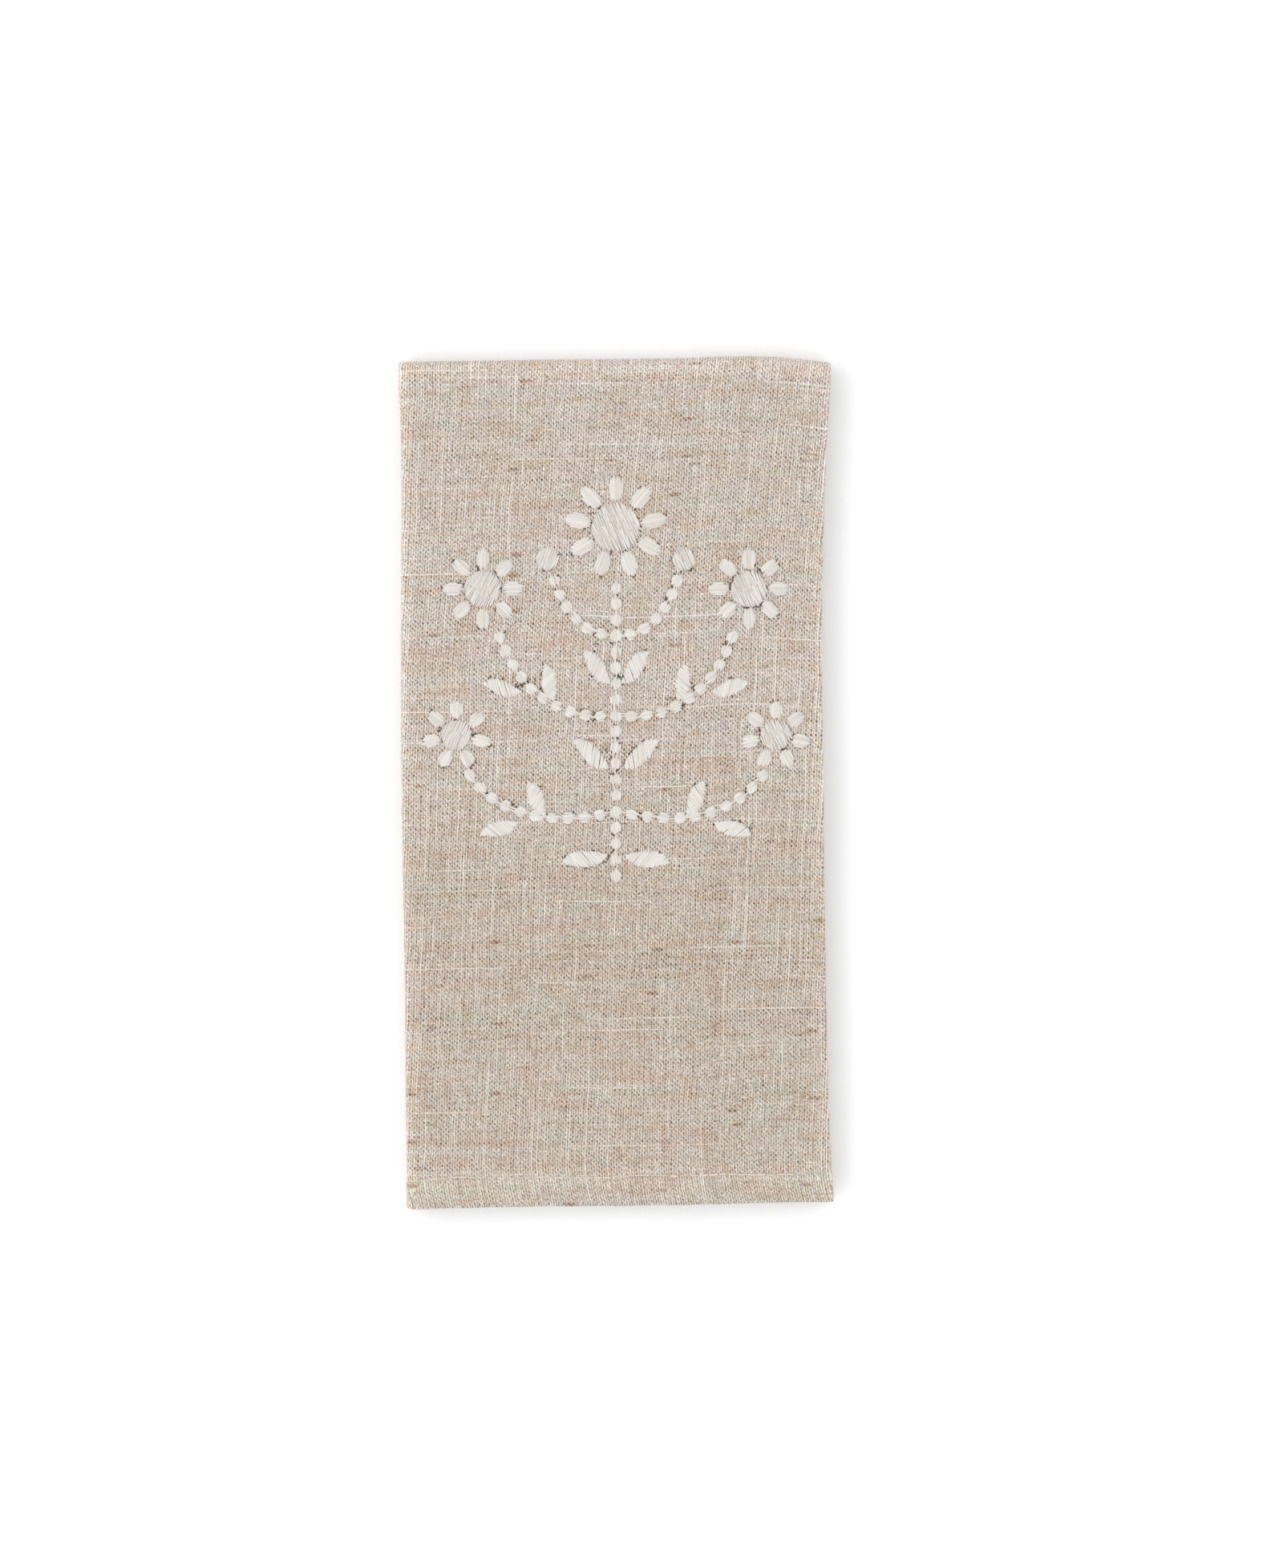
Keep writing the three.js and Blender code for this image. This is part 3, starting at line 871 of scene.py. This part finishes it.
def thread_material(name, bright, dull):
    """Twisted thread of two shades, with its fibres drawn out along it."""
    fibre_scale = (700, 14000, 14000)
    fibre_middle = 0.45
    fibre_dullness = 0.5
    relief = 0.05 * MM
    material, tree, shader = new_material(name)
    stretch = tree.nodes.new("ShaderNodeMapping")
    stretch.inputs["Scale"].default_value = fibre_scale
    link(stored(tree, "thread_place", "Vector"), stretch.inputs["Vector"])
    fibres = noise(stretch.outputs["Vector"], detail=2.0)
    off_middle = maths("SUBTRACT", fibres, fibre_middle)
    dullness = weighted(stored(tree, "thread_tone"), (off_middle, fibre_dullness))
    link(blend(dullness, bright, dull), shader.inputs["Base Color"])
    link(bumped(fibres, relief), shader.inputs["Normal"])
    shader.inputs["Roughness"].default_value = 0.6
    shader.inputs["Specular IOR Level"].default_value = 0.3
    shader.inputs["Sheen Weight"].default_value = 0.2
    return material


def hem_row(half):
    """The stitches along the end hem of the upper or lower outer panel."""
    row = []
    for at in np.arange(row_starts, row_ends, hem_stitch_pitch):
        ends = []
        for end_x in (at, at + hem_stitch_length + rng.normal(0, hem_length_spread)):
            line = through(short_edges, "hem", end_x) + hem_depth + outer_strip[half] * MM
            line += row_wander * math.sin(end_x / short_wander) * math.cos(end_x / long_wander)
            ends += [end_x, line + rng.normal(0, hem_hole_spread)]
        dullness = rng.uniform(*hem_thread_dullness)
        row.append([*ends, hem_thread_width, hem_thread_thickness, hem_thread_rise, dullness])
    return row


def along_row(row):
    """Places along a row, a third of a stitch apart."""
    thirds = (0, 0.33, 0.67, 1)
    places = []
    for stitch in row:
        start = np.array(stitch[0:2])
        run = np.array(stitch[2:4]) - start
        places += [start + share * run for share in thirds]
    return places


upper_row = hem_row("upper")
lower_row = hem_row("lower")
draw_in(holes_of(upper_row), **upper_hem_pull)
draw_in(along_row(lower_row), **lower_hem_pull, from_above=False)
hem_stitches = [
    stitched_mesh("hem_stitches_upper", upper_row),
    stitched_mesh("hem_stitches_lower", lower_row, from_above=False),
]
hem_thread = thread_material("hem_thread", bright=(0.62, 0.555, 0.48, 1), dull=(0.36, 0.31, 0.255, 1))
for piece in hem_stitches:
    piece.data.materials.append(hem_thread)
    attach(piece, "root")


# Embroidery
# A spray of flowers worked in thick ivory thread on the upper panel. Its stems are chains of dots, each a
# bundle of satin stitches along the chain, with the thread carried from dot to dot. The flower centres
# are filled with long irregular stitches, and the petals and leaves are satin stitch.
thread_width = 0.66 * MM
thread_thickness = 0.38 * MM
stitch_spacing = 0.55 * MM
thread_dullness = (0, 0.3)
frayed = 0.24 * MM
open_hole_share = 0.075
open_hole_reach = 2.6 * MM
needle_pull = {"depth": 0.06 * MM, "reach": 0.9 * MM}

# Satin stitch: a patch with rounded ends, highest along its middle
satin_rise = 0.2 * MM
satin_round_ends = 0.86
satin_lower_sides = 0.55
satin_side_fray = 0.3 * frayed
petal_gap = 0.6 * MM
leaf_stalk = 2.6 * MM
leaf_slant = 0.55
leaf_spacing = 1.05 * stitch_spacing
leaf_rise = 0.75 * satin_rise
leaf_fray = 0.5 * frayed
leaf_dullness = (0, 0.22)

# Dots of a stem, and the threads carried between them
dot_width = 3.8 * MM
dot_spacing = 4.8 * MM
dot_width_range = (0.92, 1.06)
dot_length_range = (0.95, 1.08)
dot_turn = 0.12
carried_thread = {"width": 0.42 * MM, "thickness": 0.3 * MM, "rise": 0.02 * MM}
carried_spread = 0.5 * MM
most_carried = 2

# Filled rounds: uneven top stitches over a duller first pass, whose dull colour is painted shade in the
# gaps between them
fill_lean = 24
fill_longest = 4.6 * MM
fill_overlap = 0.35 * MM
fill_rise = 0.12 * MM
fill_rise_spread = 0.1 * MM
fill_parts_spread = (-0.3, 0.6)
fill_break_spread = 1.6 * MM
fill_thread_range = (0.55, 0.95)
first_pass_shade = (0.15, 0.6)

# Places in millimetres on the panel. Side stems, side flowers and leaves are worked on both sides.
middle_stem = {"from": (0, -27.6), "bend": (0, 15.6), "to": (0, 58.8)}
side_stems = [
    {"from": (0, -8.4), "bend": (31, -15.5), "to": (44, 2.5)},
    {"from": (0, 20.4), "bend": (25, 18), "to": (35, 44)},
    {"from": (0, 44.4), "bend": (13, 44.4), "to": (18.5, 61)},
]
middle_flower = {"x": 0, "y": 77, "centre": 14, "petals": 9, "length": 8, "width": 5}
side_flowers = [
    {"x": 48, "y": 14.5, "centre": 8.6, "petals": 7, "length": 5.6, "width": 4.4},
    {"x": 40, "y": 58.5, "centre": 10.4, "petals": 8, "length": 6.4, "width": 4.5},
    {"x": 20.5, "y": 67.5, "centre": 6.4, "petals": 0, "length": 0, "width": 0},
]
leaves = [
    {"x": 0, "y": -21, "lean": 100, "length": 14, "width": 5.6},
    {"x": 0, "y": 3, "lean": 52, "length": 14, "width": 5.6},
    {"x": 0, "y": 28, "lean": 40, "length": 13, "width": 5.6},
    {"x": 20, "y": -12.1, "lean": 28, "length": 12, "width": 5.2},
    {"x": 27, "y": -10.6, "lean": 110, "length": 12, "width": 5.2},
    {"x": 26, "y": 27, "lean": 78, "length": 12, "width": 5.2},
    {"x": 18, "y": 22, "lean": 14, "length": 12, "width": 5.2},
]


def turned_place(x, y, angle, along, sideways):
    """A place given along and beside a line through x, y."""
    return [
        x + along * math.cos(angle) - sideways * math.sin(angle),
        y + along * math.sin(angle) + sideways * math.cos(angle),
    ]


def offsets(count):
    """Evenly spaced places between -1 and 1, half a step in from each end."""
    return (np.arange(count) + 0.5) / count * 2 - 1


def bundle(x, y, angle, length, width):
    """Satin stitches side by side in a round or oval patch, each along its length."""
    stitches = []
    for offset in offsets(max(3, round(width / stitch_spacing))):
        half = length / 2 * math.sqrt(1 - satin_round_ends * offset**2)
        sideways = offset * (width - thread_width) / 2
        ends = []
        for end in (-1, 1):
            along = end * half + rng.normal(0, frayed)
            ends += turned_place(x, y, angle, along, sideways + rng.normal(0, satin_side_fray))
        rise = satin_rise * (1 - satin_lower_sides * offset**2)
        stitches.append([*ends, thread_width, thread_thickness, rise, rng.uniform(*thread_dullness)])
    return stitches


def filled_round(x, y, angle, width):
    """Long stitches across a round patch, broken at uneven places, over a first pass of duller ones that
    are painted shade in the gaps between them.
    """
    stitches = []
    for offset in offsets(round(width / stitch_spacing)):
        half = width / 2 * math.sqrt(1 - offset**2) + abs(rng.normal(0, frayed))
        sideways = offset * width / 2
        under = sideways + stitch_spacing / 2
        first = turned_place(x, y, angle, -half, under)
        last = turned_place(x, y, angle, half, under)
        # The first pass is darker, as painted shade between the top stitches
        dullness = rng.uniform(*first_pass_shade)
        stitches.append([*first, *last, thread_width, thread_thickness, 0.0, dullness])
        parts = max(1, round(2 * half / fill_longest + rng.uniform(*fill_parts_spread)))
        breaks = np.linspace(-half, half, parts + 1)
        breaks[1:-1] += rng.uniform(-fill_break_spread, fill_break_spread, parts - 1)
        for start, end in zip(breaks[:-1], breaks[1:]):
            first = turned_place(x, y, angle, start - fill_overlap, sideways + rng.normal(0, frayed))
            last = turned_place(x, y, angle, end + fill_overlap, sideways + rng.normal(0, frayed))
            thread = thread_width * rng.uniform(*fill_thread_range)
            rise = fill_rise + rng.uniform(0, fill_rise_spread)
            stitches.append([*first, *last, thread, thread_thickness, rise, rng.uniform(*thread_dullness)])
    return stitches


def stem_dots(stem, mirror):
    """Centres of the dots along a curved stem, and the way that the stem runs at each."""
    curve_points = 200
    t = np.linspace(0, 1, curve_points)[:, None]
    corners = [np.array([mirror * stem[key][0], stem[key][1]]) * MM for key in ("from", "bend", "to")]
    line = corners[0] * (1 - t) ** 2 + corners[1] * 2 * t * (1 - t) + corners[2] * t**2
    run = np.concatenate([[0], np.cumsum(np.hypot(*np.diff(line, axis=0).T))])
    at = np.linspace(0, run[-1], round(run[-1] / dot_spacing) + 1)
    dots = np.column_stack([np.interp(at, run, line[:, 0]), np.interp(at, run, line[:, 1])])
    way = np.gradient(dots, axis=0)
    return dots, np.arctan2(way[:, 1], way[:, 0])


def stem_stitches(stem, mirror):
    """Dots, then the threads carried between them. A side stem starts on a dot of the middle stem."""
    dots, angles = stem_dots(stem, mirror)
    stitches = []
    for index, ((x, y), angle) in enumerate(zip(dots, angles)):
        if index or stem is middle_stem:
            width = dot_width * rng.uniform(*dot_width_range)
            dot_angle = angle + rng.normal(0, dot_turn)
            length = dot_width * rng.uniform(*dot_length_range)
            stitches += bundle(x, y, dot_angle, length, width)
    for start, end in zip(dots[:-1], dots[1:]):
        for _ in range(rng.integers(1, most_carried + 1)):
            off = rng.normal(0, carried_spread, 4)
            ends = [*(start + off[:2]), *(end + off[2:])]
            stitches.append([*ends, *carried_thread.values(), rng.uniform(*thread_dullness)])
    return stitches


def flower_stitches(flower, mirror):
    """A filled centre with a ring of petals round it."""
    x = mirror * flower["x"] * MM
    y = flower["y"] * MM
    stitches = filled_round(x, y, math.radians(90 + mirror * fill_lean), flower["centre"] * MM)
    length = flower["length"] * MM
    ring = flower["centre"] / 2 * MM + petal_gap + length / 2
    for step in range(flower["petals"]):
        angle = math.pi / 2 + step / flower["petals"] * 2 * math.pi * mirror
        petal_x, petal_y = turned_place(x, y, angle, ring, 0)
        stitches += bundle(petal_x, petal_y, angle, length, flower["width"] * MM)
    return stitches


def leaf_stitches(leaf, mirror):
    """Slanting satin stitches from one edge of the leaf to the other."""
    angle = math.radians(90 - mirror * leaf["lean"])
    length = leaf["length"] * MM
    x, y = turned_place(mirror * leaf["x"] * MM, leaf["y"] * MM, angle, leaf_stalk, 0)
    count = round(length / leaf_spacing)
    stitches = []
    for share in (np.arange(count) + 0.5) / count:
        half = leaf["width"] / 2 * MM * 4 * share * (1 - share)
        ends = []
        for side in (-1, 1):
            sideways = side * half * mirror
            along = share * length + side * half * leaf_slant + rng.normal(0, leaf_fray)
            ends += turned_place(x, y, angle, along, sideways + rng.normal(0, leaf_fray))
        stitches.append([*ends, thread_width, thread_thickness, leaf_rise, rng.uniform(*leaf_dullness)])
    return stitches


def leave_open(holes):
    """Stores, for the upper panel round each needle hole that has not closed, the way to the hole."""
    mesh = cloth.data
    tree = KDTree(len(holes))
    for index, (hole_x, hole_y) in enumerate(holes):
        tree.insert((hole_x, hole_y, 0), index)
    tree.balance()
    vectors = mesh.attributes["to_needle_hole"].data
    for vertex in mesh.vertices:
        if vertex.co.z > upper_panel_z:
            hole, _, far = tree.find((vertex.co.x, vertex.co.y, 0))
            if far < open_hole_reach:
                vectors[vertex.index].vector = (hole.x - vertex.co.x, hole.y - vertex.co.y, 0)


stem_work = stem_stitches(middle_stem, 1)
flower_work = flower_stitches(middle_flower, 1)
leaf_work = []
for mirror in (1, -1):
    for stem in side_stems:
        stem_work += stem_stitches(stem, mirror)
    for flower in side_flowers:
        flower_work += flower_stitches(flower, mirror)
    for leaf in leaves:
        leaf_work += leaf_stitches(leaf, mirror)
needle_holes = holes_of(stem_work + flower_work + leaf_work)
draw_in(needle_holes, **needle_pull)
leave_open(rng.permutation(needle_holes)[: round(open_hole_share * len(needle_holes))])
embroidery = [
    stitched_mesh("stem_stitches", stem_work),
    stitched_mesh("flower_stitches", flower_work),
    stitched_mesh("leaf_stitches", leaf_work),
]
ivory_thread = thread_material("ivory_thread", bright=(0.605, 0.578, 0.53, 1), dull=(0.29, 0.237, 0.19, 1))
for piece in embroidery:
    piece.data.materials.append(ivory_thread)
    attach(piece, "root")


# Table, light and camera
# A plain white table, a wide window of soft light on the left, pale light from all round, and a camera
# that looks straight down with the hem at the bottom of the picture.
table_width = 8
table_drop = 0.02 * MM
table_white = (0.815, 0.815, 0.815, 1)
room_white = (0.98, 0.99, 1, 1)
room_strength = 1.319
window_width = 3.2
window_height = 1.4
window_power = 17.2
window_place = (-1.5, -0.25, 1.6)
photo_height = 1955
photo_pixel = 0.241 * MM
film_height = 36
camera_place = (7.65 * MM, -0.16 * MM, 2.2)
camera_above_cloth = camera_place[2] - stack_height

bpy.ops.object.select_all(action="DESELECT")
bpy.ops.mesh.primitive_plane_add(size=table_width, location=(0, 0, -table_drop))
table = bpy.context.object
table.name = "table"
white_top, _, top_shader = new_material("white_table")
top_shader.inputs["Base Color"].default_value = table_white
top_shader.inputs["Roughness"].default_value = 0.9
top_shader.inputs["Specular IOR Level"].default_value = 0
table.data.materials.append(white_top)

world = bpy.data.worlds.new("pale_room")
bpy.context.scene.world = world
world.use_nodes = True
room_light = world.node_tree.nodes["Background"]
room_light.inputs["Color"].default_value = room_white
room_light.inputs["Strength"].default_value = room_strength

window = bpy.data.lights.new("window", "AREA")
window.shape = "RECTANGLE"
window.size = window_width
window.size_y = window_height
window.energy = window_power
window_lamp = bpy.data.objects.new("window", window)
window_lamp.location = window_place
window_lamp.rotation_euler = (-window_lamp.location).to_track_quat("-Z", "Y").to_euler()
bpy.context.scene.collection.objects.link(window_lamp)

camera_data = bpy.data.cameras.new("camera")
camera_data.sensor_fit = "VERTICAL"
camera_data.sensor_height = film_height
camera_data.lens = film_height * camera_above_cloth / (photo_height * photo_pixel)
camera = bpy.data.objects.new("camera", camera_data)
camera.location = camera_place
bpy.context.scene.collection.objects.link(camera)
bpy.context.scene.camera = camera
bpy.context.scene.view_settings.view_transform = "Standard"
